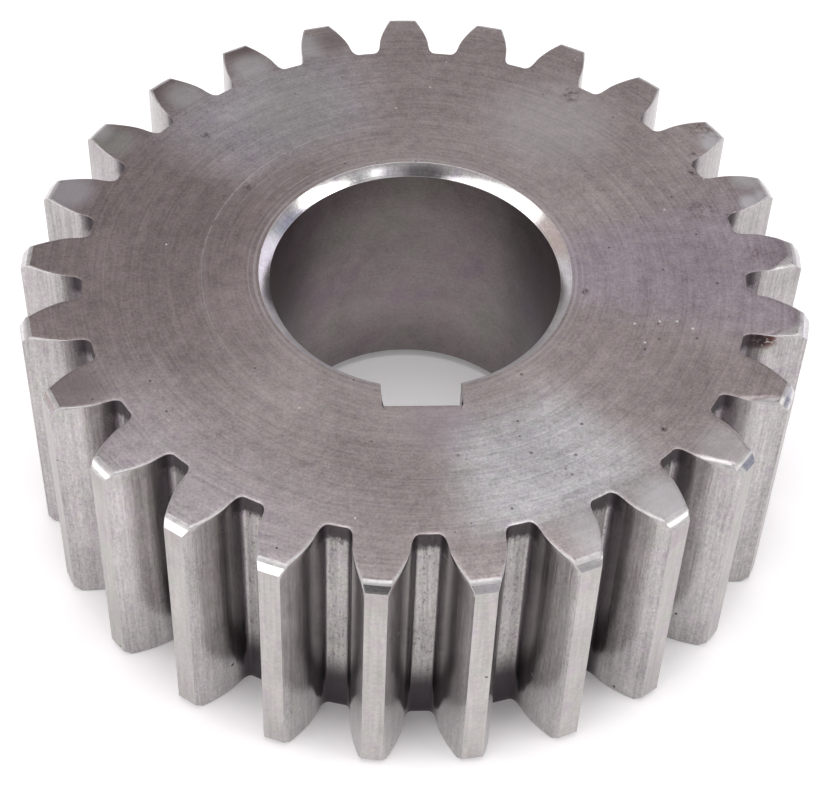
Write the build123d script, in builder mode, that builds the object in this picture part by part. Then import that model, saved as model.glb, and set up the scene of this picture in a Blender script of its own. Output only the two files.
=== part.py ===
from build123d import *
import os
from math import atan2, cos, hypot, pi, radians, sin, sqrt, tan

# A one-piece spur gear in millimetres: a turned steel disc with a keyed bore and hobbed involute teeth.
# The origin lies on the bore's axis in the lower face, and +Z runs along the bore.
# One tooth stands on +Y and the keyway is cut towards -Y, behind the tooth space that lies there.

# Toothing
tooth_count = 25
module = 3.0
pressure_angle = 20.0
addendum = 1.0 * module
dedendum = 7 / 6 * module
hob_corner_radius = 0.1 * module

# Blank
face_width = 30.0
bore_diameter = 30.0
bore_chamfer = 1.1
tip_chamfer = 0.8

# Keyway, its depth measured outwards from the bore
key_width = 8.0
key_depth = 3.3
key_corner_radius = 0.25

# Broken edges where the flanks and roots meet the two faces
edge_break = 0.1

# Circles of the toothing
pitch_radius = module * tooth_count / 2
base_radius = pitch_radius * cos(radians(pressure_angle))
tip_radius = pitch_radius + addendum
root_radius = pitch_radius - dedendum
bore_radius = bore_diameter / 2

# How far the cutters run past the blank, and how many steps a curve is drawn through
cutter_overrun = 1.0
curve_steps = 6


def polar(radius, angle):
    """Point at a radius and an angle in radians from +X."""
    return (radius * cos(angle), radius * sin(angle))


def mirrored(points):
    """The same points on the other side of the X axis."""
    return [(x, -y) for x, y in points]


def involute(angle):
    """Involute function: how far the curve has turned where its pressure angle is this."""
    return tan(angle) - angle


def flank_angle(radius):
    """Angle of a tooth flank at a radius, from the middle of the tooth space."""
    local_angle = atan2(sqrt(radius**2 - base_radius**2), base_radius)
    half_space = pi / (2 * tooth_count)
    return half_space - involute(radians(pressure_angle)) + involute(local_angle)


def root_curve():
    """Points that the hob's rounded corner sweeps, from the root circle out to the flank."""
    slope = radians(pressure_angle)
    centre_depth = dedendum - hob_corner_radius
    flat = pi * module / 4 - dedendum * tan(slope) - hob_corner_radius * (1 - sin(slope)) / cos(slope)
    points = []
    for step in range(curve_steps + 1):
        normal = pi / 2 + (slope - pi / 2) * step / curve_steps
        travel = centre_depth / tan(normal)
        along = travel + hob_corner_radius * cos(normal)
        height = pitch_radius - centre_depth - hob_corner_radius * sin(normal)
        roll = (flat - travel) / pitch_radius
        points.append(polar(hypot(along, height), atan2(along, height) + roll))
    return points


def flank_curve(start_radius, end_radius):
    """Points along the involute between two radii."""
    radii = [start_radius + (end_radius - start_radius) * step / curve_steps for step in range(curve_steps + 1)]
    return [polar(radius, flank_angle(radius)) for radius in radii]


def below_the_tip(edge):
    """Whether an edge of a face's outline belongs to a flank or a root, and not to a tooth's tip."""
    return edge.geom_type != GeomType.CIRCLE or edge.radius < pitch_radius


fillet_points = root_curve()
form_radius = hypot(*fillet_points[-1])
flank_points = flank_curve(form_radius, tip_radius + cutter_overrun)
half_pitch = 180 / tooth_count

# One tooth space, its middle along +X: root land, the two swept fillets and the two involute flanks
with BuildSketch() as tooth_space:
    with BuildLine():
        RadiusArc(mirrored(fillet_points)[0], fillet_points[0], -root_radius)
        Spline(fillet_points)
        Spline(mirrored(fillet_points))
        left_flank = Spline(flank_points)
        right_flank = Spline(mirrored(flank_points))
        Line(left_flank @ 1, right_flank @ 1)
    make_face()

with BuildPart() as spur_gear:
    # Turned blank: a ring section with chamfered tips and chamfered bore mouths
    with BuildSketch(Plane.XZ) as section:
        with Locations((bore_radius, 0)):
            Rectangle(tip_radius - bore_radius, face_width, align=(Align.MIN, Align.MIN))
        corners = section.vertices().group_by(Axis.X)
        chamfer(corners[0], length=bore_chamfer)
        chamfer(corners[-1], length=tip_chamfer)
    revolve(axis=Axis.Z)

    # Broached keyway towards -Y, square to the bore, with small radii in its floor
    with BuildSketch() as slot:
        with Locations((0, -bore_radius - key_depth)):
            Rectangle(key_width, bore_radius + key_depth, align=(Align.CENTER, Align.MIN))
        fillet(slot.vertices().group_by(Axis.Y)[0], radius=key_corner_radius)
    extrude(amount=face_width, mode=Mode.SUBTRACT)

    # Hobbed tooth spaces, the first one half a pitch past the tooth on +Y, then right round
    with BuildSketch() as toothing:
        with PolarLocations(0, tooth_count, start_angle=90 + half_pitch):
            add(tooth_space.sketch)
    extrude(amount=face_width, mode=Mode.SUBTRACT)

    # Broken edges all along the flanks and roots, on both faces
    lower_face, upper_face = spur_gear.faces().filter_by(Plane.XY).sort_by(Axis.Z)
    outlines = lower_face.outer_wire().edges() + upper_face.outer_wire().edges()
    chamfer(outlines.filter_by(below_the_tip), length=edge_break)

spur_gear.part.label = "spur_gear"

os.makedirs("parts", exist_ok=True)
export_step(spur_gear.part, "parts/spur_gear.step")
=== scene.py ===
"""A used spur gear of turned, hobbed and broached steel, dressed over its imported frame, on a white table."""

import random
from math import acos, asin, atan2, cos, hypot, pi, radians, sin, sqrt, tan

import bpy
from bpy.props import (
    FloatProperty,
    FloatVectorProperty,
    IntProperty,
    PointerProperty,
)
from mathutils import Matrix, Vector, noise


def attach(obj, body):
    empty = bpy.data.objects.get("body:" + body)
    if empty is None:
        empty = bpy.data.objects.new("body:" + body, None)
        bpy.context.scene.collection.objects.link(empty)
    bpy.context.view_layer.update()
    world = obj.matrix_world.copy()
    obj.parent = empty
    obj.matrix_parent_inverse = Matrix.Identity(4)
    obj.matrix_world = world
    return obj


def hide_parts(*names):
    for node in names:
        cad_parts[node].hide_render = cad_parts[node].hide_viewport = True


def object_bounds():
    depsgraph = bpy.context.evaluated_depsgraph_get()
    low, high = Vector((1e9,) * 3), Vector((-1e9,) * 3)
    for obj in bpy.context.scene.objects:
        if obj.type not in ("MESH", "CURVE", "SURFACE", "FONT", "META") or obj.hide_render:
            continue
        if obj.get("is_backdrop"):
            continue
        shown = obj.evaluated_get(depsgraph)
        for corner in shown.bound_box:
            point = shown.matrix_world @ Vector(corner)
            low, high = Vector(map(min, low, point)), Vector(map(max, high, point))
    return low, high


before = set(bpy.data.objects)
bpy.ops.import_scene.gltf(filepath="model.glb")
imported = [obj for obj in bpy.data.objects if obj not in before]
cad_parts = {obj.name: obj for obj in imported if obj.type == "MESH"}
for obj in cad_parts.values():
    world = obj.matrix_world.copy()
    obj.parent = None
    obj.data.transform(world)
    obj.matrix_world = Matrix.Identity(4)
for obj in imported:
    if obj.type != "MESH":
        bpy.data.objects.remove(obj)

bl_info = {
    "name": "Spur Gear",
    "version": (1, 0, 0),
    "blender": (4, 5, 0),
    "location": "3D View > Sidebar > Spur Gear",
    "description": "Builds a used steel spur gear and the small studio it stands in",
    "category": "Add Mesh",
}

NODE = "spur_gear"
MM = 0.001
CAD_LOW, CAD_HIGH = (Vector(corner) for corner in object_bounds())


def length(name, description, default):
    """A length that the gear's user can set, in metres."""
    return FloatProperty(name=name, description=description, default=default, unit="LENGTH", precision=5)


def degrees(name, description, default):
    """An angle that the gear's user can set, its default in degrees."""
    return FloatProperty(name=name, description=description, default=radians(default), subtype="ANGLE")


def brightness(name, description, default, **limits):
    """A brightness that the gear's user can set, from 0 upwards."""
    return FloatProperty(name=name, description=description, default=default, min=0, **limits)


def colour(name, description, default):
    """A colour that the gear's user can set."""
    return FloatVectorProperty(name=name, description=description, default=default, subtype="COLOR", size=3)


class GearSizes(bpy.types.PropertyGroup):
    """Sizes of the gear, as the workshop drawing would give them."""

    tooth_count: IntProperty(name="Teeth", description="Number of teeth round the gear", default=25, min=18)
    module: length("Module", "Pitch diameter divided by the number of teeth", 0.003)
    pressure_angle: degrees("Pressure angle", "Slope of the hob's flanks", 20)
    dedendum: length("Dedendum", "Depth of the tooth spaces below the pitch circle", 0.0035)
    hob_corner: length("Hob corner", "Radius of the hob's corners, which sweep the root fillets", 0.0003)
    face_width: length("Face width", "Height of the gear along its bore", CAD_HIGH.z - CAD_LOW.z)
    bore_diameter: length("Bore", "Diameter of the bore", 0.03)
    bore_chamfer: length("Bore chamfer", "Chamfer at both mouths of the bore", 0.0011)
    tip_chamfer: length("Tip chamfer", "Chamfer turned on the blank, left on each tooth's tip", 0.0008)
    key_width: length("Keyway width", "Width of the keyway", 0.008)
    key_depth: length("Keyway depth", "Depth of the keyway outwards from the bore", 0.0033)
    key_corner: length("Keyway corner", "Radius in the corners of the keyway's floor", 0.00025)
    tip_lip: length("Tip lip", "Width worn off the edge between each face and the tips' chamfers", 0.0003)
    flank_break: length("Flank break", "Width deburred off the flanks' edges near the tips", 0.0002)
    fine_break: length("Fine break", "Width worn off the other edges, which were left almost sharp", 0.00003)
    tip_dip: length("Tip dip", "How far handling let the upper face dip towards the tooth tips", 0.0001)


class GearColours(bpy.types.PropertyGroup):
    """Colours of the steel and of what lies on it."""

    face: colour("Turned faces", "Steel of the two turned faces", (0.43, 0.384, 0.377))
    # Also painted shade: in broad sectors and patches of the upper face, and on the broken edges near the
    # roots
    worn_face_and_shade: colour("Handled face", "Darker, browner steel of the handled faces", (0.214, 0.175, 0.173))
    # The lilac, violet and pale colours also paint the sheen and highlights of the turned rings, in broad
    # sectors and patches of the upper face
    oil: colour("Oil tint", "Lilac tint of dried oil in broad sectors of the faces", (0.52, 0.50, 0.535))
    violet: colour("Violet tint", "Violet temper tint in one sector of the faces", (0.42, 0.372, 0.45))
    pale: colour("Rubbed face", "Pale steel where the faces were rubbed", (0.70, 0.715, 0.735))
    green: colour("Green tint", "Greenish film on some tooth tops", (0.45, 0.50, 0.45))
    flank: colour("Tooth flanks", "Hobbed steel of the flanks", (0.465, 0.445, 0.44))
    # Also painted shade on the left and right of the bore wall
    root: colour("Fillets", "Darker, oily steel of the fillets", (0.13, 0.108, 0.126))
    land: colour("Root lands", "Steel at the bottom of the tooth spaces", (0.415, 0.40, 0.387))
    tip: colour("Tip lands", "Steel of the tip lands", (0.495, 0.475, 0.46))
    bore: colour("Bore", "Steel of the bore and the keyway", (0.35, 0.308, 0.305))
    chamfer: colour("Chamfers", "Smoothly turned steel of the chamfers", (0.62, 0.61, 0.615))
    bright: colour("Bright edges", "Freshly rubbed steel of the broken edges", (0.52, 0.51, 0.51))
    # Also painted shade: a band under the upper face in the roots, darker towards the bottom of the bore, and
    # a contact shadow on the lowest chamfers and edges; it also darkens the foot of the roots
    dirt_and_shade: colour("Dirt", "Dirt and oxide in pits, roots and scratches", (0.058, 0.046, 0.054))
    rust: colour("Rust", "Small rust stains near the tooth tips", (0.13, 0.06, 0.05))
    lint: colour("Lint", "White specks of lint on the upper face", (0.95, 0.94, 0.93))


class StageSettings(bpy.types.PropertyGroup):
    """The table, the lamps and the camera."""

    table_colour: colour("Table", "Colour of the white table", (0.92, 0.91, 0.92))
    table_glow: brightness(
        "Table glow",
        "How much of the table's white shows even in shade, to the eye and in the steel",
        0.05,
        max=1,
    )
    table_sheen: brightness(
        "Table sheen", "How much more of the table's white the steel mirrors", 0.12, max=1
    )
    sky_level: brightness("Room level", "Brightness of the room round the gear", 1.0)
    lamp_level: brightness("Lamp level", "Brightness of the soft lamps", 1.0)
    aim: FloatVectorProperty(
        name="Camera aim",
        description="Point that the camera looks at",
        subtype="TRANSLATION",
        size=3,
        default=(-0.000204, -0.016809, 0.030),
    )
    distance: length("Camera distance", "Distance from the camera to its aim", 0.21906)
    azimuth: degrees(
        "Camera azimuth", "Turn of the camera round the gear, from straight in front of the keyway", -4.2413
    )
    elevation: degrees("Camera elevation", "Height of the camera over the horizon", 49.1287)
    roll: degrees("Camera roll", "Turn of the camera about its own line of sight", 2.6755)
    lens: FloatProperty(
        name="Lens", description="Focal length of the camera, in millimetres", default=96.04, min=10
    )


# Mesh density: columns round one tooth, and rows up and across the gear, with lengths in millimetres
ROOT_STEPS = 2
FILLET_STEPS = 8
LOWER_FLANK_STEPS = 7
UPPER_FLANK_STEPS = 7
TIP_STEPS = 14
UPPER_FLANK_LENGTH = 3.4
SIDE_DEPTHS = (1.6, 3.0, 5.0, 8.0)
FACE_MARGIN = 0.45
BODY_RINGS = 4
OUTER_RING_INSET = 1.8
INNER_RING_OUTSET = 2.2
MOUTH_RINGS = 5
KEY_FLOOR_STEPS = 36
KEY_CORNER_STEPS = 4
KEY_WALL_STEPS = 8
BORE_ROWS = 6

# Columns of one side of a tooth: from the root's middle to the flank's foot, and all the way to the tip
FOOT_STEPS = ROOT_STEPS + FILLET_STEPS + 1
SIDE_STEPS = ROOT_STEPS + FILLET_STEPS + LOWER_FLANK_STEPS + UPPER_FLANK_STEPS

# Smallest cosine of half a corner's turn that an inset outline still follows
INSET_LIMIT = 0.4

# The upper face's dip: how far inside the tip circle it starts and how far outside it would end,
# in millimetres, the factor on each tooth's own amount, and the draws of those amounts
DIP_START = 4.6
DIP_END = 2.0
DIP_SCALE = 1.6
DIP_SEED = 11
DIP_DRAWS = (0.5, 1.3)

# How far inside the tip circle the dressed facets start and reach their full width, in millimetres
DRESSED_START = 5.0
DRESSED_FULL = 1.5

# Teeth whose upper face was dressed back by hand, by number counterclockwise from +Y: the width and the slope
# of the facet along the clockwise flank, and of the one along the tip, in millimetres and as a share
DRESSED_TEETH = {
    21: (0.9, 0.10, 1.2, 0.06),
    20: (1.2, 0.16, 1.3, 0.08),
    19: (1.3, 0.42, 1.4, 0.14),
    18: (1.2, 0.42, 1.1, 0.12),
    17: (0.9, 0.42, 0.8, 0.08),
    16: (0.6, 0.42, 0.5, 0.06),
}

# Deburring of the flanks: where it starts inside the pitch circle and is full inside the tip circle,
# in millimetres, and how its width wavers: waves per point, where the noise is read, and the share
DEBURRED_START = 1.2
DEBURRED_FULL = 1.8
WAVER_PITCH = 0.11
WAVER_PLACE = (3.7, 0.2)
WAVER_SHARE = 0.7


def smooth_step(value, low, high):
    """0 up to low, 1 from high, and a smooth rise in between."""
    share = min(1.0, max(0.0, (value - low) / (high - low)))
    return share * share * (3 - 2 * share)


def mixed(a, b, share):
    """A number that lies the given share of the way from a to b."""
    return a + (b - a) * share


def polar(radius, angle):
    """Point at a radius and an angle from +X."""
    return (radius * cos(angle), radius * sin(angle))


class Toothing:
    """The gear's plan, worked out in millimetres from its sizes."""

    def __init__(self, sizes):
        self.count = sizes.tooth_count
        self.module = sizes.module / MM
        self.slope = sizes.pressure_angle
        self.dedendum = sizes.dedendum / MM
        self.hob_corner = sizes.hob_corner / MM
        self.height = sizes.face_width / MM
        self.tip_chamfer = sizes.tip_chamfer / MM
        self.bore_radius = sizes.bore_diameter / MM / 2
        self.bore_chamfer = sizes.bore_chamfer / MM
        self.key_half = sizes.key_width / MM / 2
        self.key_floor = self.bore_radius + sizes.key_depth / MM
        self.key_corner = sizes.key_corner / MM
        self.tip_lip = sizes.tip_lip / MM
        self.flank_break = sizes.flank_break / MM
        self.fine_break = sizes.fine_break / MM
        self.tip_dip = sizes.tip_dip / MM
        self.pitch_radius = self.module * self.count / 2
        self.base_radius = self.pitch_radius * cos(self.slope)
        self.tip_radius = self.pitch_radius + self.module
        self.root_radius = self.pitch_radius - self.dedendum
        self.half_pitch = pi / self.count
        self.fillet = self.root_fillet()
        self.form_radius = self.fillet[-1][0]

    def root_fillet(self):
        """Radius and angle, from the middle of the tooth, of points that the hob's rounded corner sweeps."""
        corner = self.hob_corner
        depth = self.dedendum
        flat = (
            pi * self.module / 4
            - depth * tan(self.slope)
            - corner * (1 - sin(self.slope)) / cos(self.slope)
        )
        swept = []
        for step in range(FILLET_STEPS + 1):
            normal = pi / 2 + (self.slope - pi / 2) * step / FILLET_STEPS
            travel = (depth - corner) / tan(normal)
            along = travel + corner * cos(normal)
            up = self.pitch_radius - (depth - corner) - corner * sin(normal)
            from_space = atan2(along, up) + (flat - travel) / self.pitch_radius
            swept.append((hypot(along, up), self.half_pitch - from_space))
        return swept

    def flank_angle(self, radius):
        """Angle of the involute flank from the middle of its tooth, at a radius."""
        local = acos(min(1.0, self.base_radius / radius))
        half_tooth = pi / (2 * self.count)
        return half_tooth + tan(self.slope) - self.slope - (tan(local) - local)

    def tip_at(self, height):
        """Radius of the tooth tips at a height, less where the blank is chamfered."""
        from_end = min(height, self.height - height)
        return self.tip_radius - max(0.0, self.tip_chamfer - from_end)

    def bore_at(self, height):
        """Radius of the bore at a height, more where its mouths are chamfered."""
        from_end = min(height, self.height - height)
        return self.bore_radius + max(0.0, self.bore_chamfer - from_end)

    def tooth_side(self, cap):
        """Radius and angle, from the tooth's middle, of one side's points from the root up to a cap."""
        first = self.fillet[0][1]
        side = [
            (self.root_radius, mixed(self.half_pitch, first, step / ROOT_STEPS))
            for step in range(ROOT_STEPS)
        ]
        side += self.fillet
        join = self.tip_radius - UPPER_FLANK_LENGTH
        radii = [
            mixed(self.form_radius, join, step / LOWER_FLANK_STEPS)
            for step in range(1, LOWER_FLANK_STEPS + 1)
        ]
        radii += [
            mixed(join, cap, step / UPPER_FLANK_STEPS) for step in range(1, UPPER_FLANK_STEPS + 1)
        ]
        return side + [(radius, self.flank_angle(radius)) for radius in radii]

    def outline(self, height):
        """Points right round the toothing at a height, counterclockwise from the middle of a root."""
        cap = self.tip_at(height)
        side = self.tooth_side(cap)
        edge = side[-1][1]
        tip = [(cap, mixed(-edge, edge, step / TIP_STEPS)) for step in range(1, TIP_STEPS)]
        tooth = [(radius, -angle) for radius, angle in side] + tip + side[:0:-1]
        points = []
        for number in range(self.count):
            middle = self.tooth_angle(number)
            points += [polar(radius, middle + angle) for radius, angle in tooth]
        return points

    def tooth_angle(self, number):
        """Angle of a tooth's middle from +X; tooth 0 stands on +Y."""
        return pi / 2 + 2 * self.half_pitch * number

    def bore_outline(self, height, count):
        """Points round the bore and keyway at a height, counterclockwise from the keyway floor's middle."""
        radius = self.bore_at(height)
        start_angle = asin(self.key_half / radius)
        half_floor = self.key_half - self.key_corner
        floor_steps = KEY_FLOOR_STEPS // 2
        half = [(half_floor * step / floor_steps, -self.key_floor) for step in range(floor_steps)]
        centre = (half_floor, self.key_corner - self.key_floor)
        for step in range(KEY_CORNER_STEPS + 1):
            x, y = polar(self.key_corner, -pi / 2 * (1 - step / KEY_CORNER_STEPS))
            half.append((centre[0] + x, centre[1] + y))
        wall_end = -sqrt(radius**2 - self.key_half**2)
        half += [
            (self.key_half, mixed(centre[1], wall_end, step / KEY_WALL_STEPS))
            for step in range(1, KEY_WALL_STEPS)
        ]
        arc_steps = count - 2 * len(half)
        arc_start = start_angle - pi / 2
        arc_turn = 2 * pi - 2 * start_angle
        arc = [polar(radius, arc_start + arc_turn * step / arc_steps) for step in range(arc_steps + 1)]
        return half + arc + [(-x, y) for x, y in half[:0:-1]]


class GearMesh:
    """The gear's points, faces, finishes and broken edges, as they are added."""

    def __init__(self):
        self.points = []
        self.faces = []
        self.finishes = []
        self.breaks = {}

    def add(self, points, height):
        """Adds points at one height, or at a height each, and returns their numbers."""
        first = len(self.points)
        heights = height if isinstance(height, list) else [height] * len(points)
        self.points += [(x, y, z) for (x, y), z in zip(points, heights)]
        return list(range(first, len(self.points)))

    def skin(self, row, other, finish, closed=True):
        """Quads between two rows of points; finish names each quad's finish, by its place in the row."""
        steps = len(row) if closed else len(row) - 1
        for place in range(steps):
            after = (place + 1) % len(row)
            self.faces.append((row[place], row[after], other[after], other[place]))
            self.finishes.append(finish(place) if callable(finish) else finish)

    def ease(self, start, end, width):
        """Breaks the edge between two points by a width."""
        self.breaks[(min(start, end), max(start, end))] = width

    def ease_row(self, row, width):
        """Breaks a closed row's edges; width gives each edge's width, by its place in the row."""
        for place, start in enumerate(row):
            found = width(place)
            if found:
                self.ease(start, row[(place + 1) % len(row)], found)


def inset(points, margin):
    """A closed outline's points, moved inwards square to it."""
    moved = []
    for place, point in enumerate(points):
        before = Vector(points[place - 1])
        here = Vector(point)
        after = Vector(points[(place + 1) % len(points)])
        arriving = (here - before).normalized()
        leaving = (after - here).normalized()
        across = (arriving + leaving).normalized()
        inwards = Vector((-across.y, across.x))
        reach = margin / max(INSET_LIMIT, across.dot(arriving))
        moved.append(tuple(here + inwards * reach))
    return moved


def dip_amounts(plan):
    """How far each tooth's tip dips at the upper face, by tooth number."""
    rolls = random.Random(DIP_SEED)
    return [plan.tip_dip * rolls.uniform(*DIP_DRAWS) for _ in range(plan.count)]


def dip(plan, amounts, x, y):
    """How far a point of the upper face lies under its plane, in millimetres."""
    radius = hypot(x, y)
    turn = (atan2(y, x) - plan.tooth_angle(0)) / (2 * plan.half_pitch)
    number = round(turn) % plan.count
    across = (turn - round(turn)) * 2 * plan.half_pitch * radius
    share = smooth_step(radius, plan.tip_radius - DIP_START, plan.tip_radius + DIP_END)
    rolled = amounts[number] * share * DIP_SCALE
    if number in DRESSED_TEETH:
        flank_width, flank_slope, tip_width, tip_slope = DRESSED_TEETH[number]
        edge = plan.flank_angle(max(radius, plan.form_radius)) * radius
        grown = smooth_step(radius, plan.tip_radius - DRESSED_START, plan.tip_radius - DRESSED_FULL)
        width = flank_width * grown
        rolled += flank_slope * min(width, max(0.0, width - edge - across))
        rolled += tip_slope * max(0.0, radius - plan.tip_at(plan.height) + tip_width)
    return rolled


def toothing_rows(mesh, plan, amounts):
    """Skins the teeth and roots from the upper face to the lower one, and returns the two end rows."""
    depths = [0.0, plan.tip_chamfer, *SIDE_DEPTHS]
    heights = [plan.height - depth for depth in depths] + [plan.height / 2] + depths[::-1]
    rows = []
    for height in heights:
        points = plan.outline(height)
        fade = smooth_step(height, plan.height - SIDE_DEPTHS[-2], plan.height)
        lowered = [height - fade * dip(plan, amounts, x, y) for x, y in points]
        rows.append(mesh.add(points, lowered))
    per_tooth = len(rows[0]) // plan.count

    def on_tip(place):
        return SIDE_STEPS <= place % per_tooth < SIDE_STEPS + TIP_STEPS

    for number, (upper, lower) in enumerate(zip(rows, rows[1:])):
        coned = number in (0, len(rows) - 2)
        on_cone = "chamfer_cut" if coned else "turned_tip"
        mesh.skin(lower, upper, lambda place: on_cone if on_tip(place) else "hobbed_flank")
        for first in range(0, len(upper), per_tooth):
            for corner in (first + SIDE_STEPS, first + SIDE_STEPS + TIP_STEPS):
                mesh.ease(upper[corner], lower[corner], plan.fine_break)

    def face_break(place):
        if on_tip(place):
            return plan.tip_lip
        radius = hypot(*mesh.points[rows[0][place]][:2])
        deburred = smooth_step(radius, plan.pitch_radius - DEBURRED_START, plan.tip_radius - DEBURRED_FULL)
        wave = noise.noise(Vector((place * WAVER_PITCH, *WAVER_PLACE)))
        return mixed(plan.fine_break, plan.flank_break * (1 + WAVER_SHARE * wave), deburred)

    def cone_break(place):
        return plan.fine_break if on_tip(place) else 0

    for row, width in (
        (rows[0], face_break),
        (rows[1], cone_break),
        (rows[-2], cone_break),
        (rows[-1], face_break),
    ):
        mesh.ease_row(row, width)
    return rows[0], rows[-1]


def end_face(mesh, plan, outer, mouth, height, lowered):
    """Skins an end face from its toothed outline to the bore's mouth; lowered gives a point's own height."""
    upwards = height > 0

    def skin(row, other, closed=True):
        if upwards:
            mesh.skin(row, other, "turned_face", closed)
        else:
            mesh.skin(row[::-1], other[::-1], "turned_face", closed)

    outline = plan.outline(height)
    per_tooth = len(outline) // plan.count
    margin_points = inset(outline, FACE_MARGIN)
    margin = mesh.add(margin_points, [lowered(x, y) for x, y in margin_points])
    skin(outer, margin)

    body = []
    for number in range(plan.count):
        first = number * per_tooth
        last = first + 2 * SIDE_STEPS + TIP_STEPS
        rows = []
        for step in range(FOOT_STEPS, SIDE_STEPS):
            right, left = first + step, last - step
            (right_x, right_y), (left_x, left_y) = margin_points[right], margin_points[left % len(margin)]
            radius = hypot(right_x, right_y)
            start = atan2(right_y, right_x)
            turn = (atan2(left_y, left_x) - start) % (2 * pi)
            across = [polar(radius, start + turn * part / TIP_STEPS) for part in range(1, TIP_STEPS)]
            inner = mesh.add(across, [lowered(x, y) for x, y in across])
            rows.append([margin[right], *inner, margin[left % len(margin)]])
        rows.append([margin[first + SIDE_STEPS + part] for part in range(TIP_STEPS + 1)])
        for lower_row, upper_row in zip(rows, rows[1:]):
            skin(upper_row, lower_row, closed=False)
        body += [margin[first + step] for step in range(FOOT_STEPS)] + rows[0]
        body += [margin[(last - step) % len(margin)] for step in range(FOOT_STEPS - 1, 0, -1)]
    body_points = [mesh.points[number][:2] for number in body]

    shift = round(len(body) * 0.5 + len(body) / plan.count / 2)
    starts = [atan2(y, x) for x, y in body_points]
    even = [
        2 * pi * ((place - shift) % len(body)) / len(body) - pi / 2 for place in range(len(body))
    ]
    previous = body
    for ring in range(BODY_RINGS):
        share = ring / (BODY_RINGS - 1)
        radius = mixed(plan.root_radius - OUTER_RING_INSET, plan.key_floor + INNER_RING_OUTSET, share)
        points = []
        for place in range(len(body)):
            gap = (even[place] - starts[place] + pi) % (2 * pi) - pi
            points.append(polar(radius, starts[place] + gap * share))
        row = mesh.add(points, height)
        skin(previous, row)
        previous = row
    circle = [mesh.points[number][:2] for number in previous]
    mouth = mouth[-shift:] + mouth[:-shift]
    mouth_points = [mesh.points[number][:2] for number in mouth]
    for ring in range(1, MOUTH_RINGS):
        share = ring / MOUTH_RINGS
        points = [
            (mixed(a[0], b[0], share), mixed(a[1], b[1], share)) for a, b in zip(circle, mouth_points)
        ]
        row = mesh.add(points, height)
        skin(previous, row)
        previous = row
    skin(previous, mouth)


def bore_rows(mesh, plan, count):
    """Skins the bore, its chamfers and the keyway, and returns the rows at the upper and the lower mouth."""
    heights = [plan.height]
    heights += [
        mixed(plan.height - plan.bore_chamfer, plan.bore_chamfer, step / BORE_ROWS)
        for step in range(BORE_ROWS + 1)
    ]
    heights.append(0.0)
    rows = [mesh.add(plan.bore_outline(height, count), height) for height in heights]
    key_half = KEY_FLOOR_STEPS // 2 + KEY_CORNER_STEPS + KEY_WALL_STEPS

    def in_key(place):
        return place < key_half or place >= count - key_half

    for number, (upper, lower) in enumerate(zip(rows, rows[1:])):
        coned = number in (0, len(rows) - 2)
        on_bore = "chamfer_cut" if coned else "bored_wall"
        mesh.skin(upper, lower, lambda place: "broached_keyway" if in_key(place) else on_bore)
        for corner in (key_half, count - key_half):
            mesh.ease(upper[corner], lower[corner], plan.fine_break)
    for number in (0, len(rows) - 1):
        mesh.ease_row(rows[number], lambda place: plan.fine_break)
    for number in (1, len(rows) - 2):
        mesh.ease_row(rows[number], lambda place: 0 if in_key(place) else plan.fine_break)
    return rows[0], rows[-1]


def gear_mesh(plan):
    """The whole gear as points, faces, finishes and broken edges, in millimetres."""
    mesh = GearMesh()
    amounts = dip_amounts(plan)
    upper, lower = toothing_rows(mesh, plan, amounts)
    per_tooth = 2 * FOOT_STEPS + TIP_STEPS
    upper_mouth, lower_mouth = bore_rows(mesh, plan, per_tooth * plan.count)
    end_face(
        mesh, plan, upper, upper_mouth, plan.height, lambda x, y: plan.height - dip(plan, amounts, x, y)
    )
    end_face(mesh, plan, lower, lower_mouth, 0.0, lambda x, y: 0.0)
    return mesh


class Term:
    """A number in a material, which arithmetic turns into more nodes."""

    def __init__(self, tree, socket):
        self.tree = tree
        self.socket = socket

    def math(self, operation, *others):
        """The result of a Math node on this number and the others."""
        node = self.tree.nodes.new("ShaderNodeMath")
        node.operation = operation
        for slot, value in zip(node.inputs, (self, *others)):
            plug(self.tree, value, slot)
        return Term(self.tree, node.outputs[0])

    def __add__(self, other):
        return self.math("ADD", other)

    def __radd__(self, other):
        return self.math("ADD", other)

    def __sub__(self, other):
        return self.math("SUBTRACT", other)

    def __mul__(self, other):
        return self.math("MULTIPLY", other)

    def __abs__(self):
        return self.math("ABSOLUTE")

    def step(self, low, high):
        """0 up to low, 1 from high, smooth in between; high may lie under low."""
        node = self.tree.nodes.new("ShaderNodeMapRange")
        node.interpolation_type = "SMOOTHSTEP"
        plug(self.tree, self, node.inputs["Value"])
        first, second = (0.0, 1.0) if low < high else (1.0, 0.0)
        node.inputs["From Min"].default_value = min(low, high)
        node.inputs["From Max"].default_value = max(low, high)
        node.inputs["To Min"].default_value = first
        node.inputs["To Max"].default_value = second
        return Term(self.tree, node.outputs["Result"])

    def near(self, centre, reach, soft):
        """1 within reach of a centre value, falling to 0 over a soft border."""
        return abs(self - centre).step(reach + soft, reach)


def plug(tree, value, slot):
    """Links a term to a node's input, or sets the input to a plain number or colour."""
    if isinstance(value, Term):
        tree.links.new(value.socket, slot)
    elif slot.type == "RGBA":
        slot.default_value = (*value, 1.0)
    else:
        slot.default_value = value


def new_node(tree, kind, inputs=None, output=0, **settings):
    """A node with its settings and inputs, as the term of one of its outputs."""
    node = tree.nodes.new(kind)
    for name, value in settings.items():
        setattr(node, name, value)
    for name, value in (inputs or {}).items():
        plug(tree, value, node.inputs[name])
    return Term(tree, node.outputs[output])


def strongest(masks):
    """The largest of several masks at each point."""
    found, *others = masks
    for mask in others:
        found = found.math("MAXIMUM", mask)
    return found


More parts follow.
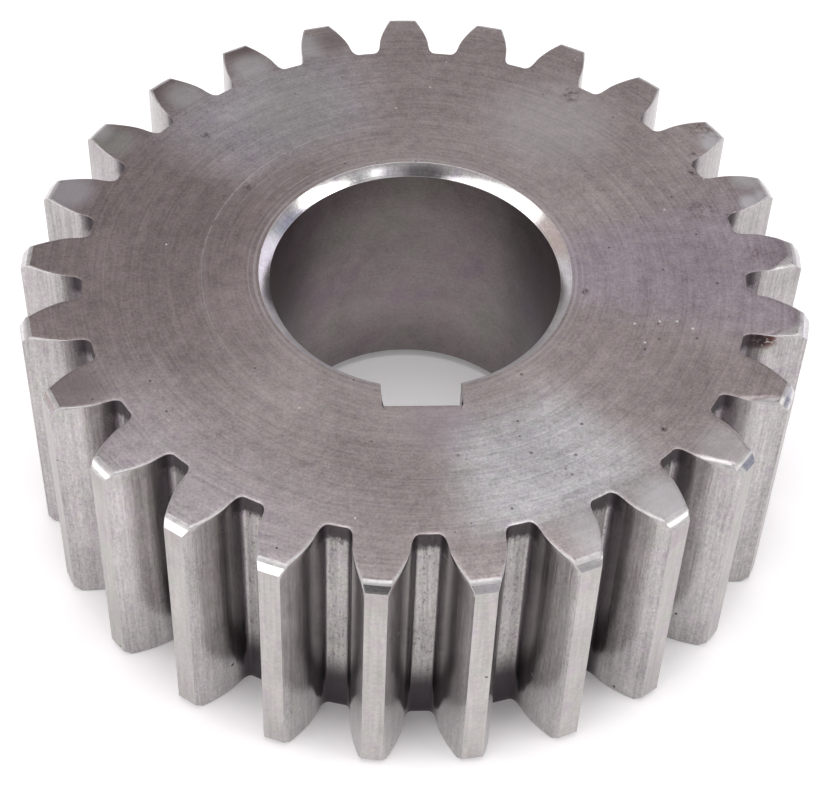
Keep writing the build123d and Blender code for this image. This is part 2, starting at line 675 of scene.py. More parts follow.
def colour_mix(tree, share, first, second, blend="MIX"):
    """Two colours mixed by a share from 0 to 1."""
    node = tree.nodes.new("ShaderNodeMix")
    node.data_type = "RGBA"
    node.blend_type = blend
    plug(tree, share, node.inputs["Factor"])
    plug(tree, first, [slot for slot in node.inputs if slot.name == "A"][2])
    plug(tree, second, [slot for slot in node.inputs if slot.name == "B"][2])
    return Term(tree, [slot for slot in node.outputs if slot.name == "Result"][2])


class Steel:
    """A steel finish in the making: its node tree, and where a point lies, in millimetres and radians."""

    def __init__(self, name):
        self.material = bpy.data.materials.new(name)
        self.material.use_nodes = True
        self.tree = self.material.node_tree
        self.shader = self.tree.nodes["Principled BSDF"]
        self.shader.inputs["Metallic"].default_value = 1.0
        place = self.tree.nodes.new("ShaderNodeTexCoord").outputs["Object"]
        self.place = new_node(
            self.tree,
            "ShaderNodeVectorMath",
            {0: Term(self.tree, place), 1: (1 / MM,) * 3},
            operation="MULTIPLY",
        )
        split = self.tree.nodes.new("ShaderNodeSeparateXYZ")
        plug(self.tree, self.place, split.inputs[0])
        self.x, self.y, self.z = (Term(self.tree, split.outputs[axis]) for axis in range(3))
        self.radius = (self.x * self.x + self.y * self.y).math("SQRT")
        self.bearing = self.x.math("ARCTAN2", self.y)
        self.round_x = self.x.math("DIVIDE", self.radius)
        self.round_y = self.y.math("DIVIDE", self.radius)

    def vector(self, x, y, z):
        """A vector from three terms or numbers."""
        return new_node(self.tree, "ShaderNodeCombineXYZ", {0: x, 1: y, 2: z})

    def noise(self, vector, scale, detail=2.0, rough=0.5, distortion=0.0):
        """Noise about 0.5 over a vector in millimetres; scale is in waves per millimetre."""
        inputs = {
            "Vector": vector, "Scale": scale, "Detail": detail, "Roughness": rough, "Distortion": distortion,
        }
        return new_node(self.tree, "ShaderNodeTexNoise", inputs)

    def line_noise(self, along, scale, detail=2.0, rough=0.5):
        """Noise about 0.5 along one number in millimetres."""
        inputs = {"W": along, "Scale": scale, "Detail": detail, "Roughness": rough}
        return new_node(self.tree, "ShaderNodeTexNoise", inputs, noise_dimensions="1D")

    def specks(self, vector, scale, size, share):
        """1 inside sparse round specks: about that share of the cells of a size hold one."""
        node = self.tree.nodes.new("ShaderNodeTexVoronoi")
        plug(self.tree, vector, node.inputs["Vector"])
        node.inputs["Scale"].default_value = scale
        node.inputs["Randomness"].default_value = 1.0
        ragged = self.noise(vector, scale * 5.0, 2.0)
        distance = Term(self.tree, node.outputs["Distance"]) + (ragged - 0.5) * size * 1.5
        cell = self.tree.nodes.new("ShaderNodeSeparateColor")
        self.tree.links.new(node.outputs["Color"], cell.inputs[0])
        picked = Term(self.tree, cell.outputs[0]).math("LESS_THAN", share)
        grown = Term(self.tree, cell.outputs[1]) * size + size * 0.5
        return (distance - grown).step(size * 0.35, 0.0) * picked

    def sector(self, centre, half_width):
        """1 at a bearing in degrees clockwise from +Y, falling smoothly to 0 at half_width from it."""
        turned = (self.bearing - radians(centre)).math("COSINE")
        return turned.step(cos(radians(half_width)), 1.0)

    def spot(self, x, y, z, reach, soft):
        """1 within reach of a point in millimetres."""
        offset = new_node(
            self.tree, "ShaderNodeVectorMath", {0: self.place, 1: (x, y, z)}, operation="SUBTRACT"
        )
        gap = new_node(self.tree, "ShaderNodeVectorMath", {0: offset}, output=1, operation="LENGTH")
        return gap.step(reach + soft, reach)

    def mix(self, share, first, second, blend="MIX"):
        """Two colours mixed by a share."""
        return colour_mix(self.tree, share, first, second, blend)

    def tone(self, *parts):
        """A factor about 1, which each noise about 0.5 moves by its amount."""
        factor = 1.0
        for grain, amount in parts:
            factor = (grain - 0.5) * amount + factor
        return factor

    def shade(self, colour, factor):
        """A colour made lighter or darker by a factor about 1."""
        grey = self.vector(factor, factor, factor)
        return self.mix(1.0, colour, grey, "MULTIPLY")

    def tarnish(self, colour, scale, amount):
        """A colour that drifts towards violet and green in small blotches."""
        drift = self.noise(self.place, scale, 3.0, 0.6)
        colour = self.mix(drift.step(0.50, 0.72) * amount, colour, (0.93, 0.84, 1.0), "MULTIPLY")
        return self.mix(drift.step(0.50, 0.28) * amount, colour, (0.90, 1.0, 0.90), "MULTIPLY")

    def finish(self, colour, rough, height, anisotropy=0.0, around=False):
        """Plugs colour, roughness and height in millimetres into the shader, and returns the material."""
        plug(self.tree, colour, self.shader.inputs["Base Color"])
        plug(self.tree, rough, self.shader.inputs["Roughness"])
        bump = self.tree.nodes.new("ShaderNodeBump")
        bump.inputs["Strength"].default_value = 1.0
        bump.inputs["Distance"].default_value = MM
        plug(self.tree, height, bump.inputs["Height"])
        self.tree.links.new(bump.outputs["Normal"], self.shader.inputs["Normal"])
        self.shader.inputs["Anisotropic"].default_value = anisotropy
        if around:
            tangent = self.tree.nodes.new("ShaderNodeTangent")
            tangent.direction_type = "RADIAL"
            tangent.axis = "Z"
            self.tree.links.new(tangent.outputs[0], self.shader.inputs["Tangent"])
        return self.material


def turned_face(plan, colours):
    """Faced steel: fine rings, arc scratches, painted shade and sheen with tints in broad sectors, pits, lint
    and a little rust.
    """
    steel = Steel("turned_face")
    wander = steel.noise(steel.place, 0.05, 2.0)
    ring = steel.radius + wander * 0.35
    fine = steel.line_noise(ring, 4.5, 3.0, 0.7)
    broad = steel.line_noise(ring, 0.6, 2.0)
    swept = steel.vector(ring * 3.2, steel.round_x * 3.0, steel.round_y * 3.0)
    arcs = steel.noise(swept, 1.0, 4.0, 0.65)
    cloud = steel.noise(steel.place, 0.11, 4.0, 0.55)
    grain = steel.noise(steel.place, 3.4, 3.0, 0.75)
    rub = steel.noise(steel.place, 0.8, 4.0, 0.65)

    # Painted shade darkens broad sectors on the left and right of the face; painted sheen of the turned rings
    # lightens and tints other sectors lilac, violet and pale
    colour = steel.mix(steel.sector(-80, 70) * 0.8, colours.face, colours.worn_face_and_shade)
    colour = steel.mix(steel.sector(104, 44) * 0.5, colour, colours.worn_face_and_shade)
    lilac_sheen = steel.sector(-31, 30) * steel.radius.step(18, 25) * steel.radius.step(38, 32)
    colour = steel.mix(lilac_sheen * 0.8, colour, colours.oil)
    colour = steel.mix(steel.sector(89, 24) * 0.45, colour, colours.violet)
    colour = steel.mix(steel.sector(-141, 36) * steel.radius.step(24, 36) * 0.45, colour, colours.oil)
    # Painted sheen: pale steel in a sector at the front
    rubbed = steel.sector(157, 23) * steel.radius.step(17, 25) * steel.radius.step(37, 32)
    colour = steel.mix(rubbed * 0.8, colour, colours.pale)
    colour = steel.tarnish(colour, 0.9, 0.4)
    tone = steel.tone((fine, 0.2), (broad, 0.15), (arcs, 0.7), (cloud, 0.5), (grain, 1.1), (rub, 0.75))
    colour = steel.shade(colour, tone + steel.radius.step(27, 18) * 0.14)

    scratches = strongest(
        steel.radius.near(radius, 0.02, 0.09) * steel.sector(centre, half_width) * strength
        for radius, centre, half_width, strength in ARC_SCRATCHES
    )
    scratches = scratches * steel.noise(steel.place, 0.8, 3.0).step(0.28, 0.50)
    mouth = plan.bore_radius + plan.bore_chamfer
    lip = steel.radius.near(mouth + 0.45, 0.08, 0.12) + steel.radius.near(mouth + 1.1, 0.04, 0.1) * 0.6
    light = scratches.math("MAXIMUM", lip * 0.35)
    colour = steel.mix(light, colour, colours.chamfer)

    ragged = rub.step(0.36, 0.50)
    deeper = [steel.spot(x, y, plan.height, 0.06, 0.22) * ragged for x, y in PITS]
    pits = strongest([steel.specks(steel.place, 0.55, 0.05, 0.42), *deeper])
    colour = steel.mix(pits * 0.75, colour, colours.dirt_and_shade)
    bare = steel.z.near(plan.height - 0.42, 0.22, 0.06)
    colour = steel.mix(bare * 0.8, colour, colours.chamfer)
    strewn = steel.specks(steel.vector(steel.x + 7.3, steel.y - 2.1, 0.0), 0.42, 0.035, 0.30)
    placed = [steel.spot(x, y, plan.height, 0.07, 0.12) * 0.8 for x, y in LINT]
    lint = strongest([strewn, *placed])
    colour = steel.mix(lint * 0.8, colour, colours.lint)
    # Painted highlights, painted shade and tints in patches of the upper face
    for x, y, reach, film, strength in FACE_TINTS_AND_PAINTED_LIGHT:
        patch_mask = steel.spot(x, y, plan.height, reach * 0.3, reach * 0.7)
        colour = steel.mix(patch_mask * strength, colour, getattr(colours, film))
    blots = steel.noise(steel.place, 1.3, 4.0, 0.7)
    for x, y, reach, stain, strength in FACE_STAINS:
        stained = steel.spot(x, y, plan.height, reach * 0.3, reach) * blots.step(0.42, 0.60)
        colour = steel.mix(stained * strength, colour, getattr(colours, stain))

    rough = 0.25 + cloud * 0.12 + grain * 0.08 - light * 0.08 - bare * 0.12 + pits * 0.2
    height = fine * 0.003 + broad * 0.0015 + arcs * 0.004 + grain * 0.002 - pits * 0.008 - scratches * 0.008
    return steel.finish(colour, rough, height, 0.4, around=True)


# Arc scratches of the faces: radius in millimetres, bearing and half width in degrees, and strength
ARC_SCRATCHES = (
    (22.1, -34.0, 30.0, 1.0),
    (22.0, -66.0, 26.0, 0.5),
    (21.8, -42.0, 24.0, 0.3),
    (20.6, -45.0, 24.0, 0.25),
    (18.8, -38.0, 28.0, 0.3),
    (17.7, -34.0, 34.0, 0.35),
    (21.9, -105.0, 32.0, 0.25),
    (19.6, 8.0, 26.0, 0.3),
    (24.9, 70.0, 40.0, 0.25),
    (27.3, 165.0, 30.0, 0.4),
    (33.2, 168.0, 18.0, 0.6),
    (30.4, 150.0, 24.0, 0.35),
)

# Specks of lint that lie on the upper face
LINT = (
    (-1.24, 24.71),
    (2.65, 28.15),
    (34.13, 8.21),
    (21.84, -7.67),
    (24.43, -7.41),
    (26.16, -7.43),
    (27.64, -8.43),
    (22.61, -10.27),
)

# Deeper pits of the upper face
PITS = (
    (3.16, -24.57),
    (14.42, -24.67),
    (13.88, -27.05),
    (10.17, -24.35),
    (22.87, -1.77),
    (30.93, -2.14),
    (15.33, -20.82),
    (23.19, -21.51),
    (9.92, -14.35),
)

# Stains of the upper face: place and reach in millimetres, colour and strength
FACE_STAINS = (
    (18.13, 26.76, 1.3, "dirt_and_shade", 0.6),
    (32.55, 21.46, 2.2, "rust", 0.55),
    (23.26, -21.7, 0.6, "dirt_and_shade", 0.7),
    (-22.04, 20.47, 0.6, "dirt_and_shade", 0.7),
    (-17.5, 12.4, 0.7, "dirt_and_shade", 0.6),
    (30.6, 8.6, 1.8, "dirt_and_shade", 0.5),
    (35.3, 2.2, 1.2, "rust", 0.5),
    (17.2, -3.2, 0.5, "dirt_and_shade", 0.8),
    (34.0, 7.5, 1.1, "dirt_and_shade", 0.8),
    (30.4, 14.4, 0.7, "dirt_and_shade", 0.8),
    (30.7, 17.0, 0.5, "dirt_and_shade", 0.7),
)

# Patches of the upper face without a sharp border, in the same measures: the pale ones are painted highlights,
# the darker ones painted shade, and the lilac, violet and green ones thin tinted films, the lilac and violet
# in part painted sheen
FACE_TINTS_AND_PAINTED_LIGHT = (
    (-10.9, 35.1, 2.8, "pale", 0.5),
    (-8.2, 36.0, 3.0, "worn_face_and_shade", 0.5),
    (-18.6, 35.0, 3.2, "worn_face_and_shade", 0.9),
    (-17.3, 31.6, 3.0, "pale", 0.5),
    (-28.2, 27.6, 3.2, "worn_face_and_shade", 0.8),
    (-24.6, 27.0, 3.0, "pale", 0.4),
    (-33.9, 21.5, 2.6, "oil", 0.8),
    (-31.8, 19.4, 3.4, "green", 0.4),
    (-36.2, 12.0, 4.0, "oil", 0.7),
    (-12.9, 24.8, 8.0, "green", 0.3),
    (-34.4, -16.0, 5.0, "worn_face_and_shade", 0.6),
    (33.9, 19.6, 3.2, "pale", 0.8),
    (15.5, 22.0, 10.0, "pale", 0.3),
    (36.4, 13.9, 3.0, "pale", 0.6),
    (33.0, 18.6, 1.4, "pale", 0.7),
    (34.2, 20.1, 1.4, "pale", 0.7),
    (35.9, 9.6, 1.6, "pale", 0.8),
    (37.6, 10.6, 1.6, "pale", 0.8),
    (1.6, -20.6, 5.0, "violet", 0.35),
    (15.6, -34.0, 4.2, "pale", 0.45),
    (22.6, -30.4, 4.2, "pale", 0.6),
    (28.9, -23.9, 4.0, "pale", 0.3),
)


def hobbed_flank(plan, colours):
    """Hobbed steel: streaks up the flanks, darker fillets and smears in the roots, painted shade in a band
    under the upper face, and darker towards the foot of the roots.
    """
    steel = Steel("hobbed_flank")
    root, top = plan.root_radius, plan.height
    drawn = steel.vector(steel.x, steel.y, steel.z * 0.03)
    streak = steel.noise(drawn, 3.4, 4.0, 0.7)
    broad = steel.noise(drawn, 0.9, 2.0, 0.5)
    short = steel.noise(steel.vector(steel.x, steel.y, steel.z * 0.25), 4.6, 3.0, 0.7)
    cloud = steel.noise(steel.place, 0.16, 3.0, 0.5)
    grain = steel.noise(steel.place, 3.2, 3.0, 0.75)
    colour = steel.mix(steel.radius.step(root + 2.4, root + 0.3) * 0.75, colours.flank, colours.root)
    land = steel.radius.step(root + 0.12, root + 0.03)
    colour = steel.mix(land, colour, colours.land)
    colour = steel.tarnish(colour, 0.5, 0.45)
    tone = steel.tone((streak, 1.0), (broad, 0.4), (short, 0.7), (cloud, 0.6), (grain, 0.9))
    colour = steel.shade(colour, tone)

    chatter = steel.noise(steel.vector(steel.x * 2.2, steel.y * 2.2, steel.z * 0.9), 1.6, 4.0, 0.7)
    ragged = steel.z + (chatter - 0.5) * 2.4
    # Painted shade: a ragged dark band just under the upper face in the roots
    band_shade_and_stains = steel.radius.step(root + 1.9, root + 0.6) * ragged.step(top - 2.8, top - 1.5)
    colour = steel.mix(band_shade_and_stains * 0.86, colour, colours.dirt_and_shade)
    # Darker towards the foot of the roots and fillets
    foot = steel.radius.step(root + 1.8, root + 0.4) * steel.z.step(9.5, 4.5)
    colour = steel.mix(foot * 0.96, colour, colours.dirt_and_shade)
    smeared = chatter.step(0.54, 0.66) * steel.radius.step(root + 1.4, root) * 0.5
    colour = steel.mix(smeared, colour, colours.dirt_and_shade)
    peppered = grain.step(0.60, 0.70) * steel.z.step(top - 7.0, top - 1.0)
    colour = steel.mix(peppered * 0.45, colour, colours.dirt_and_shade)
    pits = steel.specks(steel.place, 0.30, 0.045, 0.35)
    colour = steel.mix(pits * 0.8, colour, colours.dirt_and_shade)
    blots = steel.noise(steel.place, 1.5, 4.0, 0.7)
    for x, y, z, reach, stain, strength in FLANK_STAINS:
        stained = steel.spot(x, y, z, reach * 0.4, reach) * blots.step(0.36, 0.50)
        colour = steel.mix(stained * strength, colour, getattr(colours, stain))
        band_shade_and_stains = band_shade_and_stains.math("MAXIMUM", stained)

    rough = 0.14 + streak * 0.10 + cloud * 0.05 + land * 0.12 + pits * 0.2 + band_shade_and_stains * 0.3
    height = streak * 0.007 + short * 0.004 + chatter * land * 0.01 - pits * 0.03
    return steel.finish(colour, rough, height)


# Stains of the flanks: place and reach in millimetres, colour and strength
FLANK_STAINS = (
    (34.9, -9.4, 29.4, 1.5, "rust", 1.0),
    (34.2, -9.3, 29.3, 1.2, "dirt_and_shade", 0.9),
)


def turned_tip(plan, colours):
    """Tip lands: what is left of the turned blank, with rings and faint rubbing along the teeth."""
    steel = Steel("turned_tip")
    rings = steel.line_noise(steel.z, 3.6, 3.0, 0.6)
    streak = steel.noise(steel.vector(steel.x, steel.y, steel.z * 0.05), 2.6, 3.0, 0.6)
    cloud = steel.noise(steel.place, 0.14, 3.0)
    grain = steel.noise(steel.place, 2.6, 3.0, 0.7)
    pits = steel.specks(steel.place, 0.35, 0.04, 0.3)
    tone = steel.tone((rings, 0.12), (streak, 0.5), (cloud, 0.4), (grain, 0.5))
    colour = steel.shade(steel.tarnish(colours.tip, 0.4, 0.6), tone)
    handled = steel.z.step(plan.height - 5.5, plan.height - 1.5) * cloud.step(0.38, 0.56)
    colour = steel.mix(handled * 0.22, colour, colours.worn_face_and_shade)
    colour = steel.mix(pits * 0.7, colour, colours.dirt_and_shade)
    rough = 0.28 + cloud * 0.1 + grain * 0.08
    height = rings * 0.0015 + streak * 0.002 + grain * 0.001 - pits * 0.02
    return steel.finish(colour, rough, height)


def chamfer_cut(plan, colours):
    """Turned chamfers at the bore and the tips: smooth and bright, with tool lines round them."""
    steel = Steel("chamfer_cut")
    rings = steel.line_noise(steel.z, 9.0, 2.0, 0.6)
    around = steel.vector(steel.round_x * 12.0, steel.round_y * 12.0, steel.z * 0.5)
    waves = steel.noise(around, 1.0, 3.0, 0.6)
    grain = steel.noise(steel.place, 3.0, 4.0, 0.7)
    tone = steel.tone((rings, 0.3), (waves, 0.3), (grain, 0.5))
    colour = steel.shade(steel.tarnish(colours.chamfer, 0.6, 0.5), tone)
    # Painted contact shadow on the lowest chamfers, next to the table
    colour = steel.mix(steel.z.step(1.2, 0.7) * 0.6, colour, colours.dirt_and_shade)
    dulled = steel.radius.step(25, 20) * steel.sector(180, 96).step(0.05, 0.45)
    rough = 0.09 + waves * 0.08 + grain * 0.08 + dulled * 0.36
    height = rings * 0.0012 + waves * 0.004 + grain * 0.0012
    return steel.finish(colour, rough, height)


def bored_wall(plan, colours):
    """The bore: fine rings from boring, mottled by handling and oil."""
    steel = Steel("bored_wall")
    rings = steel.line_noise(steel.z, 5.0, 3.0, 0.65)
    mottle = steel.noise(steel.place, 0.45, 4.0, 0.6, 0.3)
    cloud = steel.noise(steel.place, 0.12, 3.0)
    grain = steel.noise(steel.place, 3.0, 3.0, 0.75)
    pits = steel.specks(steel.place, 0.5, 0.04, 0.25)
    colour = steel.tarnish(colours.bore, 0.16, 0.9)
    # Painted shade: darker towards the bottom of the bore
    colour = steel.mix(steel.z.step(10, 2) * 0.3, colour, colours.dirt_and_shade)
    tone = steel.tone((rings, 0.25), (mottle, 0.55), (cloud, 0.45), (grain, 0.7))
    # Painted shade on the bore wall's left and right sides
    side_shade = steel.sector(-78, 42) + steel.sector(78, 42)
    colour = steel.mix(side_shade * 0.6, colour, colours.root)
    colour = steel.shade(colour, tone)
    colour = steel.mix(pits * 0.7, colour, colours.dirt_and_shade)
    rough = 0.30 + mottle * 0.12 + cloud * 0.08
    height = rings * 0.003 + mottle * 0.003 + grain * 0.001 - pits * 0.02
    return steel.finish(colour, rough, height)


def broached_keyway(plan, colours):
    """The keyway: streaks along the way that the broach went."""
    steel = Steel("broached_keyway")
    streak = steel.noise(steel.vector(steel.x, steel.y, steel.z * 0.04), 3.5, 3.0, 0.6)
    cloud = steel.noise(steel.place, 0.3, 3.0)
    grain = steel.noise(steel.place, 3.0, 3.0, 0.7)
    colour = steel.shade(colours.bore, steel.tone((streak, 0.6), (cloud, 0.4), (grain, 0.4)))
    rough = 0.26 + streak * 0.12
    return steel.finish(colour, rough, streak * 0.006)


def burnished_edge(plan, colours):
    """Broken edges, rubbed bright and slightly uneven."""
    steel = Steel("burnished_edge")
    rub = steel.noise(steel.place, 1.2, 4.0, 0.6)
    nicks = steel.noise(steel.place, 2.8, 2.0).step(0.56, 0.66)
    colour = steel.shade(colours.bright, steel.tone((rub, 0.7)))
    colour = steel.mix(nicks * 0.2, colour, colours.dirt_and_shade)
    # Painted contact shadow on the lowest edges, next to the table
    colour = steel.mix(steel.z.step(1.2, 0.7) * 0.6, colour, colours.dirt_and_shade)
    # Painted shade on the broken edges near the roots
    root_edge_shade = steel.radius.near(plan.root_radius, 1.3, 1.2)
    colour = steel.mix(root_edge_shade * 0.65, colour, colours.worn_face_and_shade)
    rough = 0.40 + rub * 0.16
    return steel.finish(colour, rough, rub * 0.004 - nicks * 0.006)


FINISHES = {
    "turned_face": turned_face,
    "hobbed_flank": hobbed_flank,
    "turned_tip": turned_tip,
    "chamfer_cut": chamfer_cut,
    "bored_wall": bored_wall,
    "broached_keyway": broached_keyway,
    "burnished_edge": burnished_edge,
}


# How finely the broken edges are rounded, and how strongly the large faces lead the shading
BREAK_SEGMENTS = 3
NORMAL_WEIGHT = 60


class SPURGEAR_OT_gear(bpy.types.Operator):
    """Builds the gear with its machined finishes and puts it in the place of the plain node"""

    bl_idname = "spurgear.gear"
    bl_label = "Gear"

    def execute(self, context):
        sizes = context.scene.gear_sizes
        plan = Toothing(sizes)
        built = gear_mesh(plan)
        mesh = bpy.data.meshes.new("gear")
        mesh.from_pydata([[value * MM for value in point] for point in built.points], [], built.faces)
        names = list(FINISHES)
        for name in names:
            mesh.materials.append(FINISHES[name](plan, context.scene.gear_colours))
        mesh.polygons.foreach_set("material_index", [names.index(name) for name in built.finishes])
        mesh.shade_smooth()
        widest = max(built.breaks.values())
        weights = mesh.attributes.new("bevel_weight_edge", "FLOAT", "EDGE")
        for edge in mesh.edges:
            start, end = edge.vertices
            width = built.breaks.get((min(start, end), max(start, end)), 0.0)
            weights.data[edge.index].value = width / widest
        if mesh.validate():
            raise RuntimeError("the gear's mesh has faces that Blender had to repair")
        gear = bpy.data.objects.new("gear", mesh)
        context.scene.collection.objects.link(gear)
        bevel = gear.modifiers.new("broken_edges", "BEVEL")
        bevel.limit_method = "WEIGHT"
        bevel.width = widest * MM
        bevel.segments = BREAK_SEGMENTS
        bevel.use_clamp_overlap = False
        bevel.material = names.index("burnished_edge")
        normals = gear.modifiers.new("even_shading", "WEIGHTED_NORMAL")
        normals.weight = NORMAL_WEIGHT
        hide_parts(NODE)
        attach(gear, "root")
        return {"FINISHED"}


# How far the lamps stand from the gear, in metres
LAMP_DISTANCE = 0.7

# Lamps: name, bearing and elevation in degrees, width and height in metres, level, colour
LAMPS = (
    ("left_lamp", -118, 33, 0.84, 0.34, 1.65, (1.0, 0.985, 0.97)),
    ("right_lamp", 110, 34, 0.36, 0.18, 4.0, (1.0, 0.99, 0.97)),
    ("front_strip", 150, 46, 0.08, 0.12, 1.6, (1.0, 1.0, 1.0)),
    ("top_lamp", 0, 86, 0.38, 0.38, 2.1, (1.0, 0.99, 1.0)),
)

# Colours of the room at its horizon, higher up and overhead
HORIZON = (0.90, 0.88, 0.90)
UPPER_ROOM = (0.48, 0.45, 0.455)
OVERHEAD = (0.95, 0.94, 0.96)

# Half the table's width in metres
TABLE_REACH = 2.0

# The table is made lighter between these distances from the gear's middle, in metres, and by this much: on the
# floor of the bore and beyond the teeth by painted light for the eye, which lightens the gear's shade there;
# far off by its own white, where it is all white
BORE_FLOOR = (0.022, 0.019)
BORE_FLOOR_PAINTED_LIGHT = 0.12
OPEN_FLOOR = (0.0345, 0.042)
OPEN_FLOOR_PAINTED_LIGHT = 0.22
FAR_TABLE = (0.25, 0.7)

# The camera's sensor width in millimetres, and the nearest and farthest that it sees, in metres
SENSOR_WIDTH = 36
NEAREST, FARTHEST = 0.01, 20


def compass(bearing, elevation):
    """Unit vector at a bearing clockwise from +Y and an elevation, both in degrees."""
    turn, rise = radians(bearing), radians(elevation)
    return Vector((sin(turn) * cos(rise), cos(turn) * cos(rise), sin(rise)))


def soft_lamp(context, name, bearing, elevation, width, height, level, tint):
    """A soft rectangular lamp that faces the gear; level is the brightness that its face shows."""
    data = bpy.data.lights.new(name, "AREA")
    data.shape = "RECTANGLE"
    data.size = width
    data.size_y = height
    data.energy = 4 * width * height * level
    data.color = tint
    lamp = bpy.data.objects.new(name, data)
    direction = compass(bearing, elevation)
    lamp.location = direction * LAMP_DISTANCE
    lamp.rotation_euler = direction.to_track_quat("Z", "Y").to_euler()
    context.scene.collection.objects.link(lamp)


# Patches of the room that the steel mirrors: bearing, elevation, radius, soft border, colour
ROOM_PATCHES = (
    (-172.0, 40.0, 9.0, 9.0, (0.13, 0.125, 0.13)),
    (84.0, 9.0, 12.0, 10.0, (0.40, 0.41, 0.50)),
    (54.0, 5.0, 10.0, 14.0, (1.25, 1.18, 1.32)),
    (-68.0, 20.0, 8.0, 12.0, (0.72, 0.60, 0.57)),
    (149.0, 31.0, 16.0, 8.0, (0.56, 0.54, 0.56)),
)


def build_room(context, level):
    """The room's soft light: pale at the horizon, greyer above, bright overhead, and white to the eye."""
    world = bpy.data.worlds.new("room")
    world.use_nodes = True
    tree = world.node_tree
    tree.nodes.clear()
    place = Term(tree, tree.nodes.new("ShaderNodeTexCoord").outputs["Generated"])
    split = tree.nodes.new("ShaderNodeSeparateXYZ")
    plug(tree, place, split.inputs[0])
    rise = Term(tree, split.outputs[2])
    shown = colour_mix(tree, rise.step(0.08, 0.5), HORIZON, UPPER_ROOM)
    shown = colour_mix(tree, rise.step(0.82, 0.97), shown, OVERHEAD)
    for bearing, elevation, radius, border, tint in ROOM_PATCHES:
        towards = new_node(
            tree,
            "ShaderNodeVectorMath",
            {0: place, 1: compass(bearing, elevation)},
            output=1,
            operation="DOT_PRODUCT",
        )
        mask = towards.step(cos(radians(radius + border)), cos(radians(radius)))
        shown = colour_mix(tree, mask, shown, tint)
    room = tree.nodes.new("ShaderNodeBackground")
    plug(tree, shown, room.inputs["Color"])
    room.inputs["Strength"].default_value = level
    white = tree.nodes.new("ShaderNodeBackground")
    white.inputs["Color"].default_value = (1, 1, 1, 1)
    seen = tree.nodes.new("ShaderNodeLightPath").outputs["Is Camera Ray"]
    choice = tree.nodes.new("ShaderNodeMixShader")
    output = tree.nodes.new("ShaderNodeOutputWorld")
    tree.links.new(seen, choice.inputs[0])
    tree.links.new(room.outputs[0], choice.inputs[1])
    tree.links.new(white.outputs[0], choice.inputs[2])
    tree.links.new(choice.outputs[0], output.inputs[0])
    context.scene.world = world


def table_material(settings):
    """White table that keeps the gear's shade, with painted light on the bore's floor and beyond the teeth,
    and whose own white shows far off and in the steel.
    """
    material = bpy.data.materials.new("white_table")
    material.use_nodes = True
    tree = material.node_tree
    shader = tree.nodes["Principled BSDF"]
    shader.inputs["Base Color"].default_value = (*settings.table_colour, 1.0)
    shader.inputs["Roughness"].default_value = 0.9
    shader.inputs["Specular IOR Level"].default_value = 0.0
    shader.inputs["Emission Color"].default_value = (1, 1, 1, 1)
    path = tree.nodes.new("ShaderNodeLightPath")
    eye, gloss, clear = (
        Term(tree, path.outputs[name]) for name in ("Is Camera Ray", "Is Glossy Ray", "Is Transmission Ray")
    )
    seen = eye.math("MAXIMUM", gloss).math("MAXIMUM", clear)
    place = Term(tree, tree.nodes.new("ShaderNodeTexCoord").outputs["Object"])
    distance = new_node(tree, "ShaderNodeVectorMath", {0: place}, output=1, operation="LENGTH")
    far = distance.step(*FAR_TABLE)
    # Painted light, for the eye only: on the floor of the bore, and beyond the teeth
    inside = distance.step(*BORE_FLOOR) * BORE_FLOOR_PAINTED_LIGHT
    beyond = distance.step(*OPEN_FLOOR) * OPEN_FLOOR_PAINTED_LIGHT
    glow = seen * (far + settings.table_glow) + gloss * settings.table_sheen + eye * (inside + beyond)
    plug(tree, glow, shader.inputs["Emission Strength"])
    return material


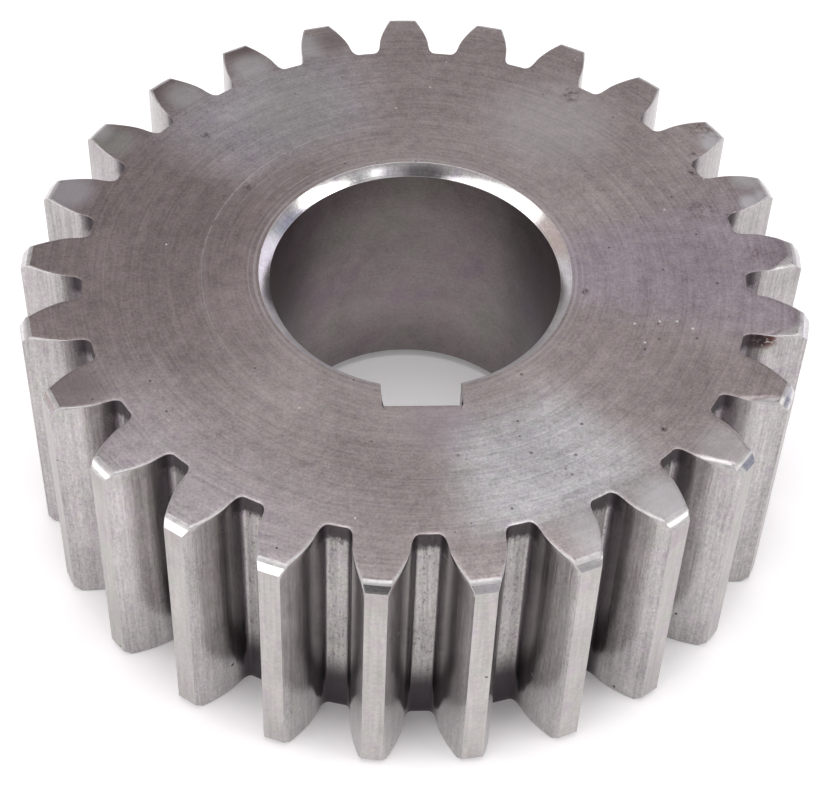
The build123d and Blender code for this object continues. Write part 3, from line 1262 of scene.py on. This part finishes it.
class SPURGEAR_OT_stage(bpy.types.Operator):
    """Builds the white table, the soft room light, the lamps and the camera"""

    bl_idname = "spurgear.stage"
    bl_label = "Stage"

    def execute(self, context):
        settings = context.scene.gear_stage
        data = bpy.data.meshes.new("table")
        corners = [
            (side * TABLE_REACH, end * TABLE_REACH, 0) for side, end in ((-1, -1), (1, -1), (1, 1), (-1, 1))
        ]
        data.from_pydata(corners, [], [(0, 1, 2, 3)])
        data.materials.append(table_material(settings))
        table = bpy.data.objects.new("table", data)
        context.scene.collection.objects.link(table)
        table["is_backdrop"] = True
        build_room(context, settings.sky_level)
        for name, bearing, elevation, width, height, level, tint in LAMPS:
            level = level * settings.lamp_level
            soft_lamp(context, name, bearing, elevation, width, height, level, tint)
        self.place_camera(context, settings)
        return {"FINISHED"}

    def place_camera(self, context, settings):
        """Stands the camera at its angle over the gear."""
        turn, rise, roll = settings.azimuth, settings.elevation, settings.roll
        back = Vector((sin(turn) * cos(rise), -cos(turn) * cos(rise), sin(rise)))
        level = Vector((cos(turn), sin(turn), 0))
        right = level * cos(roll) + back.cross(level) * sin(roll)
        up = back.cross(right)
        spot = Vector(settings.aim) + back * settings.distance
        data = bpy.data.cameras.new("camera")
        data.lens = settings.lens
        data.sensor_width = SENSOR_WIDTH
        data.clip_start = NEAREST
        data.clip_end = FARTHEST
        camera = bpy.data.objects.new("camera", data)
        camera.matrix_world = Matrix.Translation(spot) @ Matrix((right, up, back)).transposed().to_4x4()
        context.scene.collection.objects.link(camera)
        context.scene.camera = camera
        context.scene.view_settings.view_transform = "Standard"


class SPURGEAR_PT_panel(bpy.types.Panel):
    """Lists the gear's operators with the sizes, colours and stage settings that they read"""

    bl_idname = "SPURGEAR_PT_panel"
    bl_label = "Spur Gear"
    bl_space_type = "VIEW_3D"
    bl_region_type = "UI"
    bl_category = "Spur Gear"

    def draw(self, context):
        scene = context.scene
        for operator, groups in (
            (SPURGEAR_OT_gear, (scene.gear_sizes, scene.gear_colours)),
            (SPURGEAR_OT_stage, (scene.gear_stage,)),
        ):
            box = self.layout.box()
            for group in groups:
                for name in group.__annotations__:
                    box.prop(group, name)
            box.operator(operator.bl_idname)


CLASSES = (
    GearSizes,
    GearColours,
    StageSettings,
    SPURGEAR_OT_gear,
    SPURGEAR_OT_stage,
    SPURGEAR_PT_panel,
)


def register():
    """Registers the classes and the scene's settings."""
    for cls in CLASSES:
        bpy.utils.register_class(cls)
    bpy.types.Scene.gear_sizes = PointerProperty(type=GearSizes)
    bpy.types.Scene.gear_colours = PointerProperty(type=GearColours)
    bpy.types.Scene.gear_stage = PointerProperty(type=StageSettings)


def unregister():
    """Takes the settings and the classes away again."""
    del bpy.types.Scene.gear_stage
    del bpy.types.Scene.gear_colours
    del bpy.types.Scene.gear_sizes
    for cls in reversed(CLASSES):
        bpy.utils.unregister_class(cls)


def main():
    """Builds the gear and its stage."""
    register()
    bpy.ops.spurgear.gear()
    bpy.ops.spurgear.stage()
    boxes = {
        "cad": [list(CAD_LOW), list(CAD_HIGH)],
        "visual": [list(corner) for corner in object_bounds()],
    }


if __name__ == "__main__":
    main()
